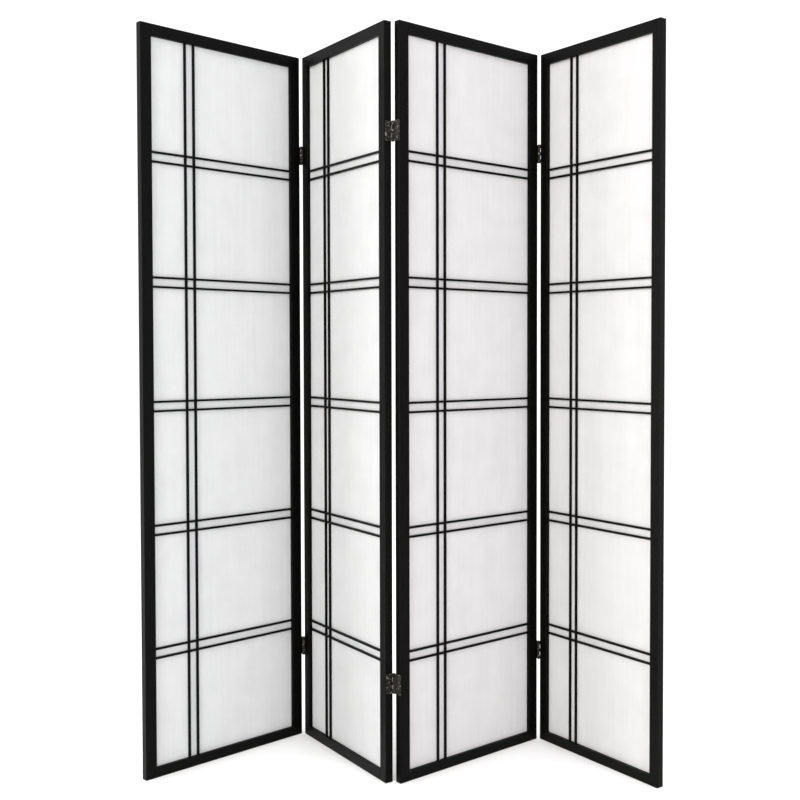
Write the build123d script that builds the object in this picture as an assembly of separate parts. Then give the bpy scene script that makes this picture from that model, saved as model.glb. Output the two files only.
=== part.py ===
from build123d import *
import math
import os

# Four-panel folding room divider screen. Each panel is a slim wooden frame that holds a
# sheet of fibre paper between a front and a back lattice of thin bars. Neighbouring panels
# are joined by two double-acting hinges, so every fold can close towards either side.
#
# Panel frame: X runs along the panel from its left edge, Y is the depth behind its front
# face, Z is the height above the floor. Hinge frame: origin halfway between two panels, at
# half the panel's thickness and half the hinge's height. Lengths in mm, angles in degrees.

# Panels
PANEL_HEIGHT = 1784.0
PANEL_WIDTH = 432.0
PANEL_THICKNESS = 19.0
PANEL_GAP = 8.0  # between the edges of two panels when they stand in line
PANEL_HEADINGS = (50.0, -49.0, 46.0, -47.0)  # the zigzag stance, turned from the X axis

# Frame
STILE_WIDTH = 27.0
TOP_RAIL_HEIGHT = 28.0
BOTTOM_RAIL_HEIGHT = 24.0
EDGE_ROUND = 1.0
STILE_END_CHAMFER = 0.5
TENON_LENGTH = 20.0
TENON_THICKNESS = 6.0
TENON_SHOULDER = 6.0
JOINT_CLEARANCE = 0.1

# Lattice
CELL_ROWS = 6
LOWEST_ROW_TRIM = 9.0  # how much shorter the lowest row of cells is than the others
BAR_WIDTH = 5.0
BAR_DEPTH = 5.5
BAR_TENON = 4.0  # how far a bar's end is let into the frame
PAIR_SPACING = 22.2  # centre to centre of the two bars of a pair
NARROW_CELL_WIDTH = 84.5  # from the left stile to the first upright bar

# Paper
PAPER_THICKNESS = 0.6
PAPER_TUCK = 5.0  # how far the paper reaches into the frame's groove
PAPER_CLEARANCE = 0.1

# Hinges
HINGE_HEIGHT = 47.0
UPPER_HINGE_DROP = 254.0  # from a panel's top to the centre of its upper hinge
LOWER_HINGE_RISE = 235.0  # from the floor to the centre of the lower hinge
LEAF_THICKNESS = 1.3
LINK_THICKNESS = 1.3
LEAF_CORNER = 1.5
KNUCKLE_RADIUS = 3.4
KNUCKLE_COUNT = 5  # on each of the two barrels; the leaf holds the first and the last
KNUCKLE_PLAY = 0.3  # between neighbouring knuckles, and round a barrel
BARREL_PROUD = 1.5  # from a panel's face to the axis of the barrel outside it
PIN_RADIUS = 1.5
PIN_PLAY = 0.05
PIN_HEAD_RADIUS = 2.3
PIN_HEAD_HEIGHT = 1.2
PIN_HEAD_DOME = 0.8

# Screws
SCREWS_PER_LEAF = 2
SCREW_SPACING = 26.0
SCREW_RADIUS = 1.4
SCREW_LENGTH = 16.0
SCREW_HEAD_RADIUS = 2.6
SCREW_PLAY = 0.05
RECESS_WIDTH = 0.7
RECESS_REACH = 1.8  # from the middle of the head to the end of each arm
RECESS_DEPTH = 0.6

# Sizes that follow
OPENING_LEFT = STILE_WIDTH
OPENING_RIGHT = PANEL_WIDTH - STILE_WIDTH
OPENING_BOTTOM = BOTTOM_RAIL_HEIGHT
OPENING_TOP = PANEL_HEIGHT - TOP_RAIL_HEIGHT
OPENING_HEIGHT = OPENING_TOP - OPENING_BOTTOM
MIDDLE = PANEL_THICKNESS / 2
PAPER_FRONT = MIDDLE - PAPER_THICKNESS / 2
PAPER_BACK = MIDDLE + PAPER_THICKNESS / 2
PAIR_HEIGHT = PAIR_SPACING + BAR_WIDTH
CELL_HEIGHT = (OPENING_HEIGHT - (CELL_ROWS - 1) * PAIR_HEIGHT + LOWEST_ROW_TRIM) / CELL_ROWS
BARREL_OFFSET = MIDDLE + BARREL_PROUD  # from the hinge's middle to each barrel's axis
BARREL_CLEAR = KNUCKLE_RADIUS + KNUCKLE_PLAY
LEAF_REACH = BARREL_OFFSET - BARREL_CLEAR  # from the hinge's middle to a leaf's long edges
KNUCKLE_PITCH = HINGE_HEIGHT / KNUCKLE_COUNT
HINGE_LEVELS = {"upper": PANEL_HEIGHT - UPPER_HINGE_DROP, "lower": LOWER_HINGE_RISE}


def block(x0, x1, y0, y1, z0, z1):
    """A box between two opposite corners."""
    return Pos(x0, y0, z0) * Box(x1 - x0, y1 - y0, z1 - z0, align=Align.MIN)


def grown(limits, play):
    """The limits of a block, moved outwards by play on every side."""
    return [v + play * (1 if i % 2 else -1) for i, v in enumerate(limits)]


# ---------------------------------------------------------------- lattice and paper


def upright_centres():
    """Where the two upright bars stand, along the panel."""
    first = OPENING_LEFT + NARROW_CELL_WIDTH + BAR_WIDTH / 2
    return [first, first + PAIR_SPACING]


def row_top(row):
    """The height of the top of a row of cells; row 0 is the lowest."""
    rows_above = CELL_ROWS - 1 - row
    return OPENING_TOP - rows_above * (CELL_HEIGHT + PAIR_HEIGHT)


def row_bottom(row):
    """The height of the bottom of a row of cells; row 0 is the lowest."""
    return OPENING_BOTTOM if row == 0 else row_top(row) - CELL_HEIGHT


def cross_centres():
    """The heights of the cross bars: a pair above each row of cells but the highest."""
    centres = []
    for row in range(CELL_ROWS - 1):
        lower_bar = row_top(row) + BAR_WIDTH / 2
        centres += [lower_bar, lower_bar + PAIR_SPACING]
    return centres


def bar_depths(side):
    """Front and back face of the bars on one side of the paper."""
    if side == "front":
        return PAPER_FRONT - BAR_DEPTH, PAPER_FRONT
    return PAPER_BACK, PAPER_BACK + BAR_DEPTH


def upright_limits(side):
    """The outer limits of each upright bar, with its stub tenons."""
    y0, y1 = bar_depths(side)
    z0, z1 = OPENING_BOTTOM - BAR_TENON, OPENING_TOP + BAR_TENON
    return [[x - BAR_WIDTH / 2, x + BAR_WIDTH / 2, y0, y1, z0, z1] for x in upright_centres()]


def cross_limits(side):
    """The outer limits of each cross bar, with its stub tenons."""
    y0, y1 = bar_depths(side)
    x0, x1 = OPENING_LEFT - BAR_TENON, OPENING_RIGHT + BAR_TENON
    return [[x0, x1, y0, y1, z - BAR_WIDTH / 2, z + BAR_WIDTH / 2] for z in cross_centres()]


def lattice(side):
    """Upright and cross bars of one side, half-lapped where they cross."""
    y0, y1 = bar_depths(side)
    lap = (y0 + y1) / 2
    outer, inner = ((y0, lap), (lap, y1)) if side == "front" else ((lap, y1), (y0, lap))
    crossings = [(x, z) for x in upright_centres() for z in cross_centres()]
    half = BAR_WIDTH / 2
    inner_laps = [block(x - half, x + half, *inner, z - half, z + half) for x, z in crossings]
    outer_laps = [block(x - half, x + half, *outer, z - half, z + half) for x, z in crossings]
    uprights = [block(*limits) - inner_laps for limits in upright_limits(side)]
    crosses = [block(*limits) - outer_laps for limits in cross_limits(side)]
    return uprights, crosses


def paper_limits(reach):
    """The paper's outline, reaching into the frame, at the middle of the thickness."""
    return [
        OPENING_LEFT - reach,
        OPENING_RIGHT + reach,
        PAPER_FRONT,
        PAPER_BACK,
        OPENING_BOTTOM - reach,
        OPENING_TOP + reach,
    ]


def paper():
    """The fibre paper sheet."""
    return block(*paper_limits(PAPER_TUCK))


# ---------------------------------------------------------------- panel frame


def inner_pockets():
    """The groove for the paper, and the pockets for the lattice bars' ends."""
    pockets = [block(*grown(paper_limits(PAPER_TUCK), PAPER_CLEARANCE))]
    for side in ("front", "back"):
        for limits in upright_limits(side) + cross_limits(side):
            pockets.append(block(*grown(limits, JOINT_CLEARANCE)))
    return pockets


def tenon_limits(z_low, z_high):
    """A rail's tenons, as one tongue that reaches into both stiles."""
    return [
        STILE_WIDTH - TENON_LENGTH,
        PANEL_WIDTH - STILE_WIDTH + TENON_LENGTH,
        MIDDLE - TENON_THICKNESS / 2,
        MIDDLE + TENON_THICKNESS / 2,
        z_low + TENON_SHOULDER,
        z_high - TENON_SHOULDER,
    ]


RAIL_SPANS = {"bottom": (0.0, BOTTOM_RAIL_HEIGHT), "top": (OPENING_TOP, PANEL_HEIGHT)}


def rail(end):
    """A top or bottom rail with its two tenons."""
    z0, z1 = RAIL_SPANS[end]
    section = RectangleRounded(PANEL_THICKNESS, z1 - z0, EDGE_ROUND)
    body = extrude(Plane.YZ * section, PANEL_WIDTH - 2 * STILE_WIDTH)
    body = Pos(STILE_WIDTH, MIDDLE, (z0 + z1) / 2) * body
    body = body + block(*tenon_limits(z0, z1))
    return body - inner_pockets()


def stile(side, hinged):
    """A full-height stile, mortised for the rails, with pilot holes if it carries hinges."""
    section = RectangleRounded(STILE_WIDTH, PANEL_THICKNESS, EDGE_ROUND)
    centre = STILE_WIDTH / 2 if side == "left" else PANEL_WIDTH - STILE_WIDTH / 2
    body = Pos(centre, MIDDLE, 0) * extrude(section, PANEL_HEIGHT)
    ends = body.faces().filter_by(Axis.Z).edges()
    body = chamfer(ends, STILE_END_CHAMFER)
    mortises = [block(*grown(tenon_limits(*span), JOINT_CLEARANCE)) for span in RAIL_SPANS.values()]
    body = body - mortises - inner_pockets()
    if hinged:
        edge = Location((PANEL_WIDTH, 0, 0)) if side == "right" else Location((0, 0, 0))
        pilot = Cylinder(SCREW_RADIUS + SCREW_PLAY, 2 * (SCREW_LENGTH - LEAF_THICKNESS + SCREW_PLAY))
        pilot = Rot(0, 90, 0) * pilot
        for level in HINGE_LEVELS.values():
            for height in screw_heights():
                body = body - edge * Pos(0, MIDDLE, level + height) * pilot
    return body


# ---------------------------------------------------------------- double-acting hinge


def screw_heights():
    """Heights of a leaf's screws from the hinge's middle."""
    middle = (SCREWS_PER_LEAF - 1) / 2
    return [(i - middle) * SCREW_SPACING / max(SCREWS_PER_LEAF - 1, 1) for i in range(SCREWS_PER_LEAF)]


def knuckles(owner, y_axis):
    """The knuckles that the leaf or the link holds on one barrel, with its bore left open."""
    first = 0 if owner == "leaf" else 1
    found = []
    for i in range(first, KNUCKLE_COUNT, 2):
        z = -HINGE_HEIGHT / 2 + (i + 0.5) * KNUCKLE_PITCH
        found.append(Pos(0, y_axis, z) * Cylinder(KNUCKLE_RADIUS, KNUCKLE_PITCH - KNUCKLE_PLAY))
    return found


def webs(owner, x0, x1, y_edge, y_axis):
    """Strips that join a plate's edge to the knuckles of its own on one barrel."""
    first = 0 if owner == "leaf" else 1
    low, high = sorted((y_edge, y_axis))
    half = (KNUCKLE_PITCH - KNUCKLE_PLAY) / 2
    found = []
    for i in range(first, KNUCKLE_COUNT, 2):
        z = -HINGE_HEIGHT / 2 + (i + 0.5) * KNUCKLE_PITCH
        found.append(block(x0, x1, low, high, z - half, z + half))
    return found


def bore(y_axis):
    """The bore through a whole barrel."""
    return Pos(0, y_axis, 0) * Cylinder(PIN_RADIUS + PIN_PLAY, 2 * HINGE_HEIGHT)


def leaf():
    """The leaf on the edge of the panel to the hinge's left; it turns on the back barrel."""
    x0 = -PANEL_GAP / 2
    x1 = x0 + LEAF_THICKNESS
    half = (HINGE_HEIGHT - KNUCKLE_PLAY) / 2
    plate = block(x0, x1, -LEAF_REACH, LEAF_REACH, -half, half)
    front_corners = plate.edges().filter_by(Axis.X).group_by(Axis.Y)[0]
    plate = fillet(front_corners, LEAF_CORNER)
    body = plate + webs("leaf", x0, x1, LEAF_REACH, BARREL_OFFSET) + knuckles("leaf", BARREL_OFFSET)
    body = body - bore(BARREL_OFFSET)
    for height in screw_heights():
        body = body - Pos(0, 0, height) * screw_body(SCREW_PLAY)
    return body


def link():
    """The plate between the two leaves, which carries the other knuckles of both barrels."""
    x0, x1 = -LINK_THICKNESS / 2, LINK_THICKNESS / 2
    half = (HINGE_HEIGHT - KNUCKLE_PLAY) / 2
    body = block(x0, x1, -LEAF_REACH, LEAF_REACH, -half, half)
    for y_axis in (-BARREL_OFFSET, BARREL_OFFSET):
        edge = math.copysign(LEAF_REACH, y_axis)
        body = body + webs("link", x0, x1, edge, y_axis) + knuckles("link", y_axis)
        body = body - bore(y_axis)
    return body


def pin(y_axis):
    """A hinge pin with a domed head at each end."""
    body = Cylinder(PIN_RADIUS, HINGE_HEIGHT)
    for end in (-1, 1):
        z = end * (HINGE_HEIGHT / 2 + PIN_HEAD_HEIGHT / 2)
        head = Pos(0, 0, z) * Cylinder(PIN_HEAD_RADIUS, PIN_HEAD_HEIGHT)
        rim = head.edges().filter_by(GeomType.CIRCLE).sort_by(Axis.Z)[-1 if end > 0 else 0]
        body = body + fillet(rim, PIN_HEAD_DOME)
    return Pos(0, y_axis, 0) * body


def screw_body(play=0.0):
    """A countersunk screw along -X, its head flush with the leaf's inner face."""
    head_face = -PANEL_GAP / 2 + LEAF_THICKNESS
    radius, head_radius = SCREW_RADIUS + play, SCREW_HEAD_RADIUS + play
    taper = SCREW_HEAD_RADIUS - SCREW_RADIUS
    shank = Pos(head_face - SCREW_LENGTH / 2, 0, 0) * Rot(0, 90, 0) * Cylinder(radius, SCREW_LENGTH)
    head = Pos(head_face - taper / 2, 0, 0) * Rot(0, 90, 0) * Cone(radius, head_radius, taper)
    return shank + head


def screw():
    """A countersunk screw with a cross recess."""
    head_face = -PANEL_GAP / 2 + LEAF_THICKNESS
    half, arm = RECESS_WIDTH / 2, RECESS_REACH
    body = screw_body()
    body = body - block(head_face - RECESS_DEPTH, head_face, -half, half, -arm, arm)
    return body - block(head_face - RECESS_DEPTH, head_face, -arm, arm, -half, half)


# ---------------------------------------------------------------- stance


def turned(heading, x, y):
    """A vector in a panel's frame, turned into the screen's frame."""
    a = math.radians(heading)
    return x * math.cos(a) - y * math.sin(a), x * math.sin(a) + y * math.cos(a)


def stance():
    """Places every panel and hinge link, from the first panel's front left corner.

    Each fold that closes towards the back turns on the back barrel, and each fold that closes
    towards the front turns on the front barrel; the link stays in line with the other panel.
    """
    panels = [(0.0, 0.0, PANEL_HEADINGS[0])]
    folds = []
    for left_heading, right_heading in zip(PANEL_HEADINGS, PANEL_HEADINGS[1:]):
        x, y, _ = panels[-1]
        link_heading = max(left_heading, right_heading)
        bx, by = turned(left_heading, PANEL_WIDTH + PANEL_GAP / 2, MIDDLE + BARREL_OFFSET)
        back = (x + bx, y + by)
        mx, my = turned(link_heading, 0, -BARREL_OFFSET)
        middle = (back[0] + mx, back[1] + my)
        front = (middle[0] + mx, middle[1] + my)
        px, py = turned(right_heading, PANEL_GAP / 2, BARREL_PROUD)
        panels.append((front[0] + px, front[1] + py, right_heading))
        folds.append({"back": back, "front": front, "middle": middle, "heading": link_heading})
    return panels, folds


def placed(shape, x, y, heading, z=0.0):
    """A copy of a shape, turned by heading and stood at x, y and the height z."""
    return Location((x, y, z), (0, 0, heading)) * shape


def hinge_pieces(panels, folds):
    """Leaves, links, pins and screws, as lists of solids by node name."""
    nodes = {}
    shapes = {
        "leaf": leaf(),
        "link": link(),
        "pins": [pin(-BARREL_OFFSET), pin(BARREL_OFFSET)],
        "screw": screw(),
    }
    for i, fold in enumerate(folds):
        name = f"hinge_{i + 1}{i + 2}"
        sides = {}
        for side, (x, y, heading), reach in (
            ("left", panels[i], PANEL_WIDTH + PANEL_GAP / 2),
            ("right", panels[i + 1], -PANEL_GAP / 2),
        ):
            dx, dy = turned(heading, reach, MIDDLE)
            sides[side] = (x + dx, y + dy, heading + (180 if side == "right" else 0))
        for level, z in HINGE_LEVELS.items():
            for side, panel_number in (("left", i + 1), ("right", i + 2)):
                x, y, heading = sides[side]
                nodes[f"{name}_{level}_{side}_leaf"] = [placed(shapes["leaf"], x, y, heading, z)]
                screws = nodes.setdefault(f"panel_{panel_number}_hinge_screws", [])
                for height in screw_heights():
                    screws.append(placed(shapes["screw"], x, y, heading, z + height))
            link_place = (*fold["middle"], fold["heading"], z)
            nodes.setdefault(f"{name}_links", []).append(placed(shapes["link"], *link_place))
            pins = nodes.setdefault(f"{name}_pins", [])
            pins += [placed(shape, *link_place) for shape in shapes["pins"]]
    return nodes


def panel_pieces(panels):
    """Frame, paper and lattice of every panel, as lists of solids by node name."""
    nodes = {}
    common = {
        "top_rail": [rail("top")],
        "bottom_rail": [rail("bottom")],
        "paper": [paper()],
    }
    for side in ("front", "back"):
        uprights, crosses = lattice(side)
        common[f"{side}_upright_bars"] = uprights
        common[f"{side}_cross_bars"] = crosses
    kinds = [(side, hinged) for side in ("left", "right") for hinged in (False, True)]
    stiles = {kind: stile(*kind) for kind in kinds}
    for i, place in enumerate(panels):
        shapes = dict(common)
        shapes["left_stile"] = [stiles["left", i > 0]]
        shapes["right_stile"] = [stiles["right", i < len(panels) - 1]]
        for name, solids in shapes.items():
            nodes[f"panel_{i + 1}_{name}"] = [placed(solid, *place) for solid in solids]
    return nodes


def build():
    """Every node's solids, and the shift that puts the origin under the screen's middle."""
    panels, folds = stance()
    nodes = {**panel_pieces(panels), **hinge_pieces(panels, folds)}
    solids = [solid for shapes in nodes.values() for shape in shapes for solid in shape.solids()]
    box = Compound(solids).bounding_box()
    shift = (-(box.min.X + box.max.X) / 2, -(box.min.Y + box.max.Y) / 2, -box.min.Z)
    return nodes, shift


def main():
    """Writes one STEP file per node."""
    os.makedirs("parts", exist_ok=True)
    nodes, shift = build()
    for name, shapes in nodes.items():
        solids = [Location(shift) * solid for shape in shapes for solid in shape.solids()]
        export_step(solids[0] if len(solids) == 1 else Compound(solids), f"parts/{name}.step")


if __name__ == "__main__":
    main()
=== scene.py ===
"""Looks of a four-panel folding screen: black lacquered lattice, fibre paper and aged brass hinges."""

import logging
import math
from dataclasses import dataclass, field
from enum import Enum
from typing import Any, Union

import bpy
import numpy as np
from mathutils import Matrix, Vector


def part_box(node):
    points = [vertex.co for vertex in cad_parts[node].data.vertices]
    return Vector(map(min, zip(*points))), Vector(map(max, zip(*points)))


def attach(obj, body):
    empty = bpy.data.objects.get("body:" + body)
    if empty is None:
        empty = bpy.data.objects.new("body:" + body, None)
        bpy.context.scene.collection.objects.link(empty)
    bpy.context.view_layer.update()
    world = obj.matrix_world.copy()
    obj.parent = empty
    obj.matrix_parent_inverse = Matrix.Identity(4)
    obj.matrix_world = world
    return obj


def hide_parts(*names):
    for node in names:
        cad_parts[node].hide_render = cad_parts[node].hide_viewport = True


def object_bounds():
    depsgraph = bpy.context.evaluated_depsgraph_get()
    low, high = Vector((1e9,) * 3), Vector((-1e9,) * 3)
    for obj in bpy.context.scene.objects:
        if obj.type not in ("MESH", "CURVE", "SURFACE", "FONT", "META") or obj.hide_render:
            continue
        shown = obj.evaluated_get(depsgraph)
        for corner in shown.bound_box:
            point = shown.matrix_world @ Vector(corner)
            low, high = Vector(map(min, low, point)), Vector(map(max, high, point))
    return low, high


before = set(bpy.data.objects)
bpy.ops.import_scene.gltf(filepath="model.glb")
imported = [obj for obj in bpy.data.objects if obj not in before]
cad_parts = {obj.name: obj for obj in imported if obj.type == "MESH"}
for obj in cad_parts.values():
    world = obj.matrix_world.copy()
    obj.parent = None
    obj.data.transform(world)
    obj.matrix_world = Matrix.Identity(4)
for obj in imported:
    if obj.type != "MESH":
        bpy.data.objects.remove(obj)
CAD_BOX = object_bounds()
MM = 0.001
WELD_GAP = 0.002 * MM  # vertices nearer than this are joined before edges are eased
SHARP_ANGLE = math.radians(40.0)  # edges sharper than this are eased

log = logging.getLogger("screen")

Colour = tuple[float, float, float]
Triple = tuple[float, float, float]  # a place, or a factor for each axis
Operand = Union["Value", float]


class Run(Enum):
    """Which way the wood's grain runs in a member."""

    UPRIGHT = "upright"
    ALONG = "along"


class Side(Enum):
    """The two faces of a panel."""

    FRONT = "front"
    BACK = "back"


class Edge(Enum):
    """The two long edges of a panel."""

    LEFT = "left"
    RIGHT = "right"


# ------------------------------------------------------------------ shader kit

MIX_SHARE, MIX_FIRST, MIX_SECOND = 0, 6, 7  # a Mix node's inputs when it blends colours
MIX_COLOUR = 2  # and its colour output


@dataclass(frozen=True)
class Value:
    """A number that changes over a surface, as a socket that Python operators work on."""

    recipe: "Recipe"
    socket: bpy.types.NodeSocket

    def _math(self, operation: str, *operands: Operand) -> "Value":
        """One Math node.

        Args:
            operation: the node's operation.
            operands: its inputs, in order.

        Returns:
            The node's result.
        """
        inputs = dict(enumerate(operands))
        node = self.recipe.node("ShaderNodeMath", {"operation": operation}, inputs)
        return Value(self.recipe, node.outputs[0])

    def __add__(self, other: Operand) -> "Value":
        """This plus the other."""
        return self._math("ADD", self, other)

    def __radd__(self, other: float) -> "Value":
        """A number plus this."""
        return self._math("ADD", other, self)

    def __sub__(self, other: Operand) -> "Value":
        """This minus the other."""
        return self._math("SUBTRACT", self, other)

    def __rsub__(self, other: float) -> "Value":
        """A number minus this."""
        return self._math("SUBTRACT", other, self)

    def __mul__(self, other: Operand) -> "Value":
        """This times the other."""
        return self._math("MULTIPLY", self, other)

    def __rmul__(self, other: float) -> "Value":
        """A number times this."""
        return self._math("MULTIPLY", other, self)

    def ramp(self, low: float, high: float) -> "Value":
        """0 below low, 1 above high, and a smooth rise between.

        Args:
            low: where the rise starts.
            high: where it ends; below low, the ramp falls instead.

        Returns:
            The ramp's value.
        """
        limits = {"Value": self, "From Min": low, "From Max": high}
        settings = {"interpolation_type": "SMOOTHSTEP"}
        return Value(self.recipe, self.recipe.node("ShaderNodeMapRange", settings, limits).outputs[0])


class Recipe:
    """One material under construction, with a single principled shader at its end."""

    def __init__(self, name: str) -> None:
        """Starts an empty material.

        Args:
            name: the material's name.
        """
        self.material = bpy.data.materials.new(name)
        self.material.use_nodes = True
        self.tree = self.material.node_tree
        self.tree.nodes.clear()

    def node(self, kind: str, settings: dict[str, Any], inputs: dict[Any, Any]) -> bpy.types.Node:
        """Adds a node.

        Args:
            kind: the node's type.
            settings: attributes, set before any socket.
            inputs: socket name or index to a value, a socket or a Value.

        Returns:
            The new node.
        """
        made = self.tree.nodes.new(kind)
        for name, setting in settings.items():
            setattr(made, name, setting)
        for key, value in inputs.items():
            self._feed(made.inputs[key], value)
        return made

    def _feed(self, socket: bpy.types.NodeSocket, value: Any) -> None:
        """Links or sets one input socket."""
        if isinstance(value, Value):
            value = value.socket
        if isinstance(value, bpy.types.NodeSocket):
            self.tree.links.new(value, socket)
        else:
            socket.default_value = value

    def local(self, heading: float) -> bpy.types.NodeSocket:
        """Places on the part, turned so that X runs along a panel.

        Args:
            heading: the panel's heading, in radians.

        Returns:
            The vector socket.
        """
        places = self.node("ShaderNodeTexCoord", {}, {}).outputs["Object"]
        turned = {"Vector": places, "Rotation": (0.0, 0.0, -heading)}
        return self.node("ShaderNodeMapping", {"vector_type": "POINT"}, turned).outputs[0]

    def stretched(self, places: bpy.types.NodeSocket, scale: Triple) -> bpy.types.NodeSocket:
        """Places multiplied by a scale for each axis.

        Args:
            places: the vector socket.
            scale: the factor for each axis.

        Returns:
            The vector socket.
        """
        return self.node("ShaderNodeVectorMath", {"operation": "MULTIPLY"}, {0: places, 1: scale}).outputs[0]

    def noise(self, places: bpy.types.NodeSocket, scale: float, detail: float, rough: float = 0.5) -> Value:
        """Fractal noise.

        Args:
            places: where to read it.
            scale: its frequency.
            detail: how many finer layers it has.
            rough: how strong the finer layers are.

        Returns:
            A value from 0 to 1.
        """
        inputs = {"Vector": places, "Scale": scale, "Detail": detail, "Roughness": rough}
        return Value(self, self.node("ShaderNodeTexNoise", {}, inputs).outputs["Fac"])

    def speckle(self, places: bpy.types.NodeSocket, scale: float) -> Value:
        """Distance from scattered points.

        Args:
            places: where to read it.
            scale: the points' frequency.

        Returns:
            0 at each point, rising between them.
        """
        inputs = {"Vector": places, "Scale": scale}
        return Value(self, self.node("ShaderNodeTexVoronoi", {}, inputs).outputs["Distance"])

    def height(self, places: bpy.types.NodeSocket) -> Value:
        """The height above the floor, in metres."""
        return Value(self, self.node("ShaderNodeSeparateXYZ", {}, {0: places}).outputs["Z"])

    def blend(self, share: Operand, low: Any, high: Any) -> bpy.types.NodeSocket:
        """A colour between two others.

        Args:
            share: 0 for the first, 1 for the second.
            low: the first colour, or a socket.
            high: the second colour, or a socket.

        Returns:
            The colour socket.
        """
        first, second = (c if isinstance(c, bpy.types.NodeSocket) else (*c, 1.0) for c in (low, high))
        inputs = {MIX_SHARE: share, MIX_FIRST: first, MIX_SECOND: second}
        return self.node("ShaderNodeMix", {"data_type": "RGBA"}, inputs).outputs[MIX_COLOUR]

    def bump(self, height: Value, depth: float, strength: float = 1.0) -> bpy.types.NodeSocket:
        """Surface relief.

        Args:
            height: the relief, from 0 to 1.
            depth: its real height, in metres.
            strength: how much of it shows.

        Returns:
            The normal socket.
        """
        inputs = {"Strength": strength, "Distance": depth, "Height": height}
        return self.node("ShaderNodeBump", {}, inputs).outputs[0]

    def surface(self, inputs: dict[str, Any]) -> None:
        """Adds the principled shader and joins it to the output.

        Args:
            inputs: its sockets.
        """
        shader = self.node("ShaderNodeBsdfPrincipled", {}, inputs)
        self.node("ShaderNodeOutputMaterial", {}, {"Surface": shader.outputs[0]})


# ------------------------------------------------------------------ finishes


@dataclass(frozen=True)
class BlackLacquer:
    """Satin black lacquer over open-grained wood, a little rubbed near the floor."""

    name: str
    heading: float
    run: Run
    pit: Colour = (0.0007, 0.0007, 0.0007)
    crest: Colour = (0.0030, 0.0028, 0.0027)
    rubbed: Colour = (0.022, 0.018, 0.015)
    sheen_low: float = 0.30
    sheen_high: float = 0.52
    reflectance: float = 0.055
    coat: float = 0.012
    coat_rough: float = 0.22
    pore_depth: float = 0.00012
    scuff_height: float = 0.05
    grain_across: float = 900.0
    grain_along: float = 16.0
    band_scale: float = 0.14
    brush_stretch: Triple = (0.45, 0.45, 0.6)
    cloud_scale: float = 9.0
    dust_scale: float = 260.0

    def _grain_scale(self) -> Triple:
        """How much the grain is stretched along each axis."""
        across, along = self.grain_across, self.grain_along
        return (across, across, along) if self.run is Run.UPRIGHT else (along, across, across)

    def material(self) -> bpy.types.Material:
        """Builds the finish.

        Returns:
            The material.
        """
        recipe = Recipe(self.name)
        places = recipe.local(self.heading)
        along = recipe.stretched(places, self._grain_scale())
        pores = recipe.noise(along, 1.0, 4.0, 0.62)
        bands = recipe.noise(along, self.band_scale, 2.0)
        brush = recipe.noise(recipe.stretched(along, self.brush_stretch), 1.0, 2.0)
        cloud = recipe.noise(places, self.cloud_scale, 3.0)
        dust = recipe.noise(places, self.dust_scale, 4.0)
        open_pore = pores.ramp(0.36, 0.62)
        tone = 0.6 * open_pore + 0.25 * bands + 0.25 * cloud
        low_down = recipe.height(places).ramp(self.scuff_height, 0.0)
        scuff = low_down * dust.ramp(0.56, 0.74)
        wood = recipe.blend(tone, self.pit, self.crest)
        spread = self.sheen_high - self.sheen_low
        rough = self.sheen_low + spread * (0.45 * cloud + 0.3 * brush + 0.25 * open_pore) + 0.2 * scuff
        relief = 0.7 * open_pore + 0.2 * bands + 0.1 * brush
        recipe.surface(
            {
                "Base Color": recipe.blend(0.6 * scuff, wood, self.rubbed),
                "Roughness": rough,
                "Specular IOR Level": self.reflectance,
                "Coat Weight": self.coat,
                "Coat Roughness": self.coat_rough,
                "Normal": recipe.bump(relief, self.pore_depth, 0.55),
            }
        )
        return recipe.material


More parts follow.
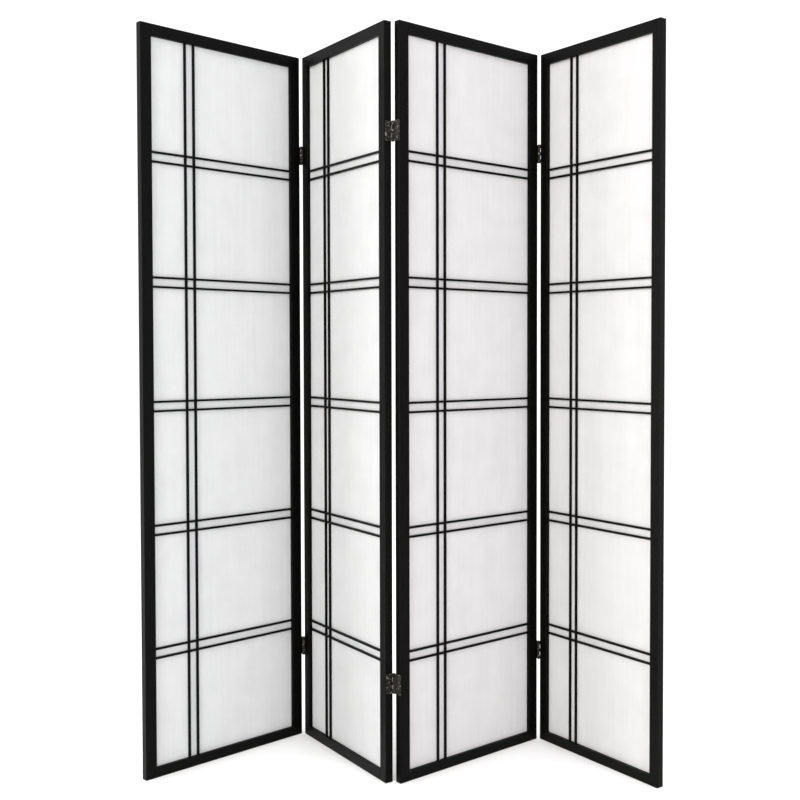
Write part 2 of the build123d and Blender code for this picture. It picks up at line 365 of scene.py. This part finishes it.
@dataclass(frozen=True)
class FibrePaper:
    """White mulberry paper: cloudy, with long fibres that mostly run upright. Its tint also carries painted
    light and shade, set for the panel that it is on.
    """

    name: str
    heading: float
    # the paper's white, made lighter or darker for each panel as painted light and shade
    paper_tint_with_painted_shade: Colour
    shade: float = 0.93
    glint: float = 1.06
    reflectance: float = 0.25
    tooth_depth: float = 0.00016
    through: float = 0.36
    warp_scale: float = 14.0
    cloud_scale: float = 20.0
    tooth_scale: float = 1900.0
    streak_stretch: Triple = (110.0, 110.0, 3.2)
    fibre_stretch: Triple = (420.0, 420.0, 24.0)
    strand_stretch: Triple = (150.0, 150.0, 21.0)

    def material(self) -> bpy.types.Material:
        """Builds the finish.

        Returns:
            The material.
        """
        recipe = Recipe(self.name)
        places = recipe.local(self.heading)
        warp = recipe.noise(places, self.warp_scale, 2.0)
        cloud = recipe.noise(places, self.cloud_scale, 5.0, 0.55)
        streak = recipe.noise(recipe.stretched(places, self.streak_stretch), 1.0, 3.0)
        fibre = recipe.noise(recipe.stretched(places, self.fibre_stretch), 1.0, 5.0, 0.7)
        strand = recipe.speckle(recipe.stretched(places, self.strand_stretch), 1.0)
        tooth = recipe.noise(places, self.tooth_scale, 3.0)
        long_fibre = strand.ramp(0.16, 0.03) * warp.ramp(0.42, 0.6)
        pale = 0.42 * cloud + 0.33 * streak + 0.25 * fibre
        darker = tuple(self.shade * c for c in self.paper_tint_with_painted_shade)
        paler = tuple(min(1.0, self.glint * c) for c in self.paper_tint_with_painted_shade)
        ground = recipe.blend(pale.ramp(0.36, 0.62), darker, self.paper_tint_with_painted_shade)
        sheet = recipe.blend(0.5 * long_fibre, ground, paler)
        relief = 0.45 * fibre + 0.35 * long_fibre + 0.2 * tooth
        shader = recipe.node(
            "ShaderNodeBsdfPrincipled",
            {},
            {
                "Base Color": sheet,
                "Roughness": 0.78 + 0.14 * cloud,
                "Specular IOR Level": self.reflectance,
                "Normal": recipe.bump(relief, self.tooth_depth, 0.6),
            },
        )
        back_lit = recipe.node("ShaderNodeBsdfTranslucent", {}, {"Color": (*self.paper_tint_with_painted_shade, 1.0)})
        share = self.through - 0.12 * pale
        mixed = {"Fac": share, 1: shader.outputs[0], 2: back_lit.outputs[0]}
        mix = recipe.node("ShaderNodeMixShader", {}, mixed)
        recipe.node("ShaderNodeOutputMaterial", {}, {"Surface": mix.outputs[0]})
        return recipe.material


@dataclass(frozen=True)
class AgedBrass:
    """Brass under a dark brown patina, rubbed bright in patches."""

    name: str
    patina: Colour = (0.010, 0.009, 0.008)
    bronze: Colour = (0.034, 0.028, 0.022)
    bright: Colour = (0.55, 0.50, 0.42)
    wear: float = 0.58
    coat: float = 0.15
    coat_rough: float = 0.3
    cast_depth: float = 0.00005
    cloud_scale: float = 170.0
    fleck_scale: float = 620.0
    line_stretch: Triple = (1500.0, 1500.0, 190.0)

    def material(self) -> bpy.types.Material:
        """Builds the finish.

        Returns:
            The material.
        """
        recipe = Recipe(self.name)
        places = recipe.local(0.0)
        cloud = recipe.noise(places, self.cloud_scale, 4.0, 0.6)
        fleck = recipe.noise(places, self.fleck_scale, 4.0, 0.7)
        line = recipe.noise(recipe.stretched(places, self.line_stretch), 1.0, 3.0)
        worn = (0.6 * cloud + 0.4 * fleck).ramp(self.wear - 0.03, self.wear + 0.07)
        brown = recipe.blend(cloud.ramp(0.38, 0.62), self.patina, self.bronze)
        recipe.surface(
            {
                "Base Color": recipe.blend(0.75 * worn, brown, self.bright),
                "Metallic": 0.85 + 0.15 * worn,
                "Roughness": 0.50 - 0.22 * worn + 0.12 * fleck,
                "Coat Weight": self.coat,
                "Coat Roughness": self.coat_rough,
                "Normal": recipe.bump(0.6 * fleck + 0.4 * line, self.cast_depth, 0.6),
            }
        )
        return recipe.material


@dataclass(frozen=True)
class StudioWhite:
    """The pale matt surface that the screen stands on."""

    name: str
    pale: Colour = (0.985, 0.985, 0.985)
    grey: Colour = (0.965, 0.965, 0.965)
    rough: float = 0.9
    reflectance: float = 0.1
    cloud_scale: float = 1.5

    def material(self) -> bpy.types.Material:
        """Builds the finish.

        Returns:
            The material.
        """
        recipe = Recipe(self.name)
        cloud = recipe.noise(recipe.local(0.0), self.cloud_scale, 3.0)
        recipe.surface(
            {
                "Base Color": recipe.blend(cloud, self.grey, self.pale),
                "Roughness": self.rough,
                "Specular IOR Level": self.reflectance,
            }
        )
        return recipe.material


# ------------------------------------------------------------------ shared mesh work


def dress(obj: bpy.types.Object, material: bpy.types.Material) -> None:
    """Gives an object one finish all over."""
    obj.data.materials.clear()
    obj.data.materials.append(material)


def soften(obj: bpy.types.Object, width: float, steps: int = 2) -> None:
    """Rounds an object's sharp edges.

    Args:
        obj: the object.
        width: the rounding's width, in metres.
        steps: how many facets each rounding has.
    """
    weld = obj.modifiers.new("join_faces", "WELD")
    weld.merge_threshold = WELD_GAP
    bevel = obj.modifiers.new("ease_edges", "BEVEL")
    bevel.width = width
    bevel.segments = steps
    bevel.limit_method = "ANGLE"
    bevel.angle_limit = SHARP_ANGLE
    bevel.use_clamp_overlap = True
    bevel.harden_normals = True


def corners(node: str) -> np.ndarray:
    """A CAD node's vertices.

    Args:
        node: the node's name.

    Returns:
        An array of points, in metres.
    """
    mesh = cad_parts[node].data
    found = np.zeros(len(mesh.vertices) * 3)
    mesh.vertices.foreach_get("co", found)
    return found.reshape(-1, 3)


def levels(values: np.ndarray, near: float = 0.02 * MM) -> list[float]:
    """The different values in an array.

    Args:
        values: the numbers.
        near: how close two may lie to count as one.

    Returns:
        One number for each level, lowest first.
    """
    ordered = np.sort(values)
    starts = np.concatenate([[True], np.diff(ordered) > near])
    return [float(v) for v in ordered[starts]]


@dataclass(frozen=True)
class Place:
    """Where a panel stands: its paper's left end, and the way that it runs from there."""

    origin: Vector
    heading: float

    @classmethod
    def of(cls, node: str) -> "Place":
        """Reads the place from a flat upright node.

        Args:
            node: the node's name.

        Returns:
            The place, its origin at the middle of the node's thickness.
        """
        flat = corners(node)[:, :2]
        left = flat[flat[:, 0] < flat[:, 0].min() + MM].mean(axis=0)
        right = flat[flat[:, 0] > flat[:, 0].max() - MM].mean(axis=0)
        run = right - left
        return cls(Vector((left[0], left[1], 0.0)), math.atan2(run[1], run[0]))

    def matrix(self) -> Matrix:
        """From the panel's own axes to the frame's."""
        return Matrix.Translation(self.origin) @ Matrix.Rotation(self.heading, 4, "Z")

    def own(self, points: np.ndarray) -> np.ndarray:
        """Points in the panel's own axes.

        Args:
            points: points in the frame.

        Returns:
            The same points, with X along the panel and Y through it.
        """
        turn = np.array(self.matrix().inverted())
        return points @ turn[:3, :3].T + turn[:3, 3]


# ------------------------------------------------------------------ the screen


@dataclass
class PaperSheet:
    """The paper of one panel: one stretched sheet that ripples a little between the bars."""

    number: int
    place: Place
    step: float = 5.0 * MM
    ripple: float = 0.30 * MM
    thickness: float = 0.5 * MM
    waves: int = 7
    longest_wave: float = 0.30
    shortest_wave: float = 0.05
    lean_spread: float = 0.35  # how far the waves turn from upright, in radians
    fullness: float = 0.6  # below 1, the ripples come nearer to the bars
    first_seed: int = 40
    # The paper's own white, set lighter or darker one panel at a time: painted light and shade for how the
    # lamps fall on each panel.
    paper_tints_with_painted_shade: tuple[Colour, ...] = (
        (0.747, 0.747, 0.749),
        (0.710, 0.711, 0.713),
        (0.762, 0.745, 0.750),
        (0.735, 0.720, 0.724),
    )

    @property
    def node(self) -> str:
        """The CAD node that the sheet stands for."""
        return f"panel_{self.number}_paper"

    def _bar_edges(self, kind: str, axis: int) -> list[float]:
        """The edges of the bars of one kind, along the panel or upwards."""
        bars = self.place.own(corners(f"panel_{self.number}_front_{kind}_bars"))
        return levels(bars[:, axis])

    def _slack(self, along: np.ndarray, edges: list[float]) -> np.ndarray:
        """How free the paper is: 1 in the middle of a cell and 0 where a bar holds it.

        Args:
            along: places along one axis.
            edges: every cell's start and end, in order.

        Returns:
            One number for each place.
        """
        free = np.zeros(len(along))
        for start, end in zip(edges[::2], edges[1::2]):
            share = np.clip((along - start) / (end - start), 0.0, 1.0)
            free = np.maximum(free, np.sin(np.pi * share) ** self.fullness)
        return free

    def _ripples(self, across: np.ndarray, up: np.ndarray) -> np.ndarray:
        """Gentle waves over the sheet, mostly upright ones, as the fibres run.

        Args:
            across: the grid's places along the panel.
            up: the grid's heights.

        Returns:
            The waves' depth at each place, about -1 to 1, one row for each height.
        """
        draw = np.random.default_rng(self.first_seed + self.number)
        total = np.zeros((len(up), len(across)))
        for _ in range(self.waves):
            length = draw.uniform(self.shortest_wave, self.longest_wave)
            lean = draw.normal(0.0, self.lean_spread)
            phase = draw.uniform(0.0, 2 * math.pi)
            place = across[None, :] * math.cos(lean) + up[:, None] * math.sin(lean)
            total += np.sin(2 * math.pi * place / length + phase)
        return total / math.sqrt(self.waves)

    def _grid(self) -> tuple[np.ndarray, np.ndarray, np.ndarray]:
        """The grid that the sheet is built on.

        Returns:
            Places across, places up and the depth of the sheet's middle at each.
        """
        low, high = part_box(self.node)
        width = float(self.place.own(corners(self.node))[:, 0].max())
        across = np.linspace(0.0, width, round(width / self.step) + 1)
        up = np.linspace(low.z, high.z, round((high.z - low.z) / self.step) + 1)
        upright = self._bar_edges("upright", 0)
        cross = self._bar_edges("cross", 2)
        free_across = self._slack(across, [0.0, *upright, width])
        free_up = self._slack(up, [low.z, *cross, high.z])
        depth = self.ripple * self._ripples(across, up) * free_up[:, None] * free_across[None, :]
        return across, up, depth

    def build(self) -> bpy.types.Object:
        """Builds the sheet with both faces and its rim, and dresses it.

        Returns:
            The sheet, riding on its panel.
        """
        across, up, depth = self._grid()
        columns, rows = len(across), len(up)
        xs, zs = np.meshgrid(across, up)
        half = self.thickness / 2
        layers = [np.stack([xs, depth + shift, zs], axis=-1).reshape(-1, 3) for shift in (-half, half)]
        points = np.concatenate(layers)
        index = np.arange(rows * columns).reshape(rows, columns)
        quads = np.stack([index[:-1, :-1], index[:-1, 1:], index[1:, 1:], index[1:, :-1]], axis=-1)
        front = quads.reshape(-1, 4)
        back = front[:, ::-1] + rows * columns
        loop = np.concatenate([index[0, :-1], index[:-1, -1], index[-1, :0:-1], index[:0:-1, 0]])
        after = np.roll(loop, -1)
        rim = np.stack([after, loop, loop + rows * columns, after + rows * columns], axis=-1)
        mesh = bpy.data.meshes.new(f"panel_{self.number}_paper_sheet")
        mesh.from_pydata(points.tolist(), [], np.concatenate([front, back, rim]).tolist())
        mesh.transform(self.place.matrix())
        mesh.shade_smooth()
        mesh.update()
        sheet = bpy.data.objects.new(f"panel_{self.number}_paper_sheet", mesh)
        bpy.context.scene.collection.objects.link(sheet)
        # Each panel's tint carries painted light and shade, so each panel gets its own paper material.
        paper_tint_with_painted_shade = self.paper_tints_with_painted_shade[self.number - 1]
        dress(sheet, FibrePaper(f"fibre_paper_painted_shade_{self.number}", self.place.heading, paper_tint_with_painted_shade).material())
        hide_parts(self.node)
        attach(sheet, f"panel_{self.number}")
        size = (float(across[-1]), float(up[-1] - up[0]))
        return sheet


@dataclass
class Panel:
    """One panel: two stiles, two rails, the lattice on both faces and the paper."""

    number: int
    bar_ease: float = 0.35 * MM
    place: Place = field(init=False)

    def __post_init__(self) -> None:
        """Finds where the panel stands."""
        self.place = Place.of(f"panel_{self.number}_paper")

    def _lacquer(self, run: Run) -> bpy.types.Material:
        """Black lacquer with the grain turned to this panel."""
        name = f"black_lacquer_{self.number}_{run.value}"
        return BlackLacquer(name, self.place.heading, run).material()

    def build(self) -> list[str]:
        """Dresses the frame and the lattice and builds the paper.

        Returns:
            The names of the panel's pieces.
        """
        upright, along = self._lacquer(Run.UPRIGHT), self._lacquer(Run.ALONG)
        nodes = {f"panel_{self.number}_{edge.value}_stile": upright for edge in Edge}
        nodes |= {f"panel_{self.number}_{end}_rail": along for end in ("top", "bottom")}
        for name, material in nodes.items():
            dress(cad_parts[name], material)
        bars = {f"panel_{self.number}_{side.value}_upright_bars": upright for side in Side}
        bars |= {f"panel_{self.number}_{side.value}_cross_bars": along for side in Side}
        for name, material in bars.items():
            dress(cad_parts[name], material)
            soften(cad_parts[name], self.bar_ease)
        sheet = PaperSheet(self.number, self.place).build()
        return [*nodes, *bars, sheet.name]


@dataclass
class Hinges:
    """The two double-acting hinges of one fold, with their leaves, links and pins."""

    left_panel: int
    edge_ease: float = 0.18 * MM

    def build(self, brass: bpy.types.Material, polished: bpy.types.Material) -> list[str]:
        """Dresses the hinges.

        Args:
            brass: the finish of the leaves and links.
            polished: the finish of the pins.

        Returns:
            The names of the hinges' pieces.
        """
        fold = f"hinge_{self.left_panel}{self.left_panel + 1}"
        plates = [f"{fold}_{level}_{edge.value}_leaf" for level in ("upper", "lower") for edge in Edge]
        plates.append(f"{fold}_links")
        for name in plates:
            dress(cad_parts[name], brass)
            soften(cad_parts[name], self.edge_ease)
        pins = f"{fold}_pins"
        dress(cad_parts[pins], polished)
        return [*plates, pins]


@dataclass
class Screen:
    """The whole folding screen."""

    panel_count: int = 4

    def build(self) -> None:
        """Builds every panel, every fold's hinges and the screws."""
        for number in range(1, self.panel_count + 1):
            log.info("panel %d: %s", number, ", ".join(Panel(number).build()))
        brass = AgedBrass("aged_brass").material()
        pin_brass = AgedBrass("rubbed_brass", wear=0.52).material()
        screw_brass = AgedBrass("screw_brass", bronze=(0.16, 0.14, 0.115), wear=0.54).material()
        for left in range(1, self.panel_count):
            log.info("fold %d: %s", left, ", ".join(Hinges(left).build(brass, pin_brass)))
        for number in range(1, self.panel_count + 1):
            screws = f"panel_{number}_hinge_screws"
            dress(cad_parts[screws], screw_brass)
            log.info("screws: %s", screws)


# ------------------------------------------------------------------ studio


@dataclass
class Backdrop:
    """A pale floor that sweeps up into a wall behind the screen."""

    half_width: float = 9.0
    front: float = -9.0
    wall: float = 7.0
    sweep: float = 2.5
    top: float = 9.0
    arc_steps: int = 24

    def _profile(self) -> list[tuple[float, float]]:
        """Depth and height along the sweep, from the front edge to the top."""
        points = [(self.front, 0.0)]
        for i in range(self.arc_steps + 1):
            turn = math.pi / 2 * i / self.arc_steps
            depth = self.wall - self.sweep + self.sweep * math.sin(turn)
            points.append((depth, self.sweep * (1 - math.cos(turn))))
        return [*points, (self.wall, self.top)]

    def build(self) -> None:
        """Builds the sweep under and behind the screen."""
        profile = self._profile()
        points = [(x, y, z) for x in (-self.half_width, self.half_width) for y, z in profile]
        count = len(profile)
        faces = [(i, i + count, i + count + 1, i + 1) for i in range(count - 1)]
        mesh = bpy.data.meshes.new("studio_sweep")
        mesh.from_pydata(points, [], faces)
        mesh.shade_smooth()
        sweep = bpy.data.objects.new("studio_sweep", mesh)
        bpy.context.scene.collection.objects.link(sweep)
        dress(sweep, StudioWhite("studio_white").material())


@dataclass(frozen=True)
class SoftBox:
    """One large soft light that looks at the middle of the screen."""

    name: str
    position: Triple
    size: tuple[float, float]
    power: float
    colour: Colour = (1.0, 1.0, 1.0)

    def build(self, target: Vector) -> None:
        """Hangs the light.

        Args:
            target: the point that it shines at.
        """
        lamp = bpy.data.lights.new(self.name, "AREA")
        lamp.shape = "RECTANGLE"
        lamp.size, lamp.size_y = self.size
        lamp.energy = self.power
        lamp.color = self.colour
        holder = bpy.data.objects.new(self.name, lamp)
        holder.location = self.position
        aim = target - Vector(self.position)
        holder.rotation_euler = aim.to_track_quat("-Z", "Y").to_euler()
        bpy.context.scene.collection.objects.link(holder)


@dataclass
class Studio:
    """Backdrop, soft lights and the pale surroundings."""

    surround: float = 1.02
    boxes: tuple[SoftBox, ...] = (
        SoftBox("key_light", (-2.6, -4.2, 3.6), (2.4, 2.4), 150.0, (1.0, 0.985, 0.965)),
        SoftBox("fill_light", (3.4, -3.6, 2.2), (2.2, 2.2), 70.0, (0.97, 0.985, 1.0)),
        SoftBox("back_light", (0.4, 3.6, 3.4), (3.0, 2.0), 45.0),
        SoftBox("left_side_light", (-4.0, -1.0, 1.3), (1.2, 2.6), 60.0),
        SoftBox("right_side_light", (4.0, 0.5, 1.3), (1.2, 2.6), 30.0),
    )

    def build(self, target: Vector) -> None:
        """Sets up the studio.

        Args:
            target: the middle of the screen.
        """
        Backdrop().build()
        for box in self.boxes:
            box.build(target)
        world = bpy.data.worlds.new("pale_room")
        world.use_nodes = True
        background = world.node_tree.nodes["Background"]
        background.inputs["Color"].default_value = (1.0, 1.0, 1.0, 1.0)
        background.inputs["Strength"].default_value = self.surround
        bpy.context.scene.world = world
        bpy.context.scene.view_settings.view_transform = "Standard"


@dataclass(frozen=True)
class Viewpoint:
    """A camera right of the screen's middle, a little above half its height, looking slightly down."""

    position: Triple = (0.4871, -2.6872, 1.0237)
    down: float = 1.579
    left: float = 1.716
    tilt: float = 0.134
    lens: float = 48.914
    shift: tuple[float, float] = (-0.22, -0.0259)
    sensor: float = 36.0

    def build(self) -> None:
        """Makes the scene's camera."""
        camera = bpy.data.cameras.new("view")
        camera.sensor_width = self.sensor
        camera.lens = self.lens
        camera.shift_x, camera.shift_y = self.shift
        holder = bpy.data.objects.new("view", camera)
        turns = Matrix.Rotation(math.radians(self.left), 4, "Z")
        turns = turns @ Matrix.Rotation(math.radians(90.0 - self.down), 4, "X")
        turns = turns @ Matrix.Rotation(math.radians(self.tilt), 4, "Z")
        holder.matrix_world = Matrix.Translation(Vector(self.position)) @ turns
        bpy.context.scene.collection.objects.link(holder)
        bpy.context.scene.camera = holder


def main() -> None:
    """Builds the screen, the studio and the camera."""
    logging.basicConfig(level=logging.INFO, format="%(name)s: %(message)s")
    middle = (CAD_BOX[0] + CAD_BOX[1]) / 2
    Screen().build()
    Studio().build(middle)
    Viewpoint().build()


if __name__ == "__main__":
    main()
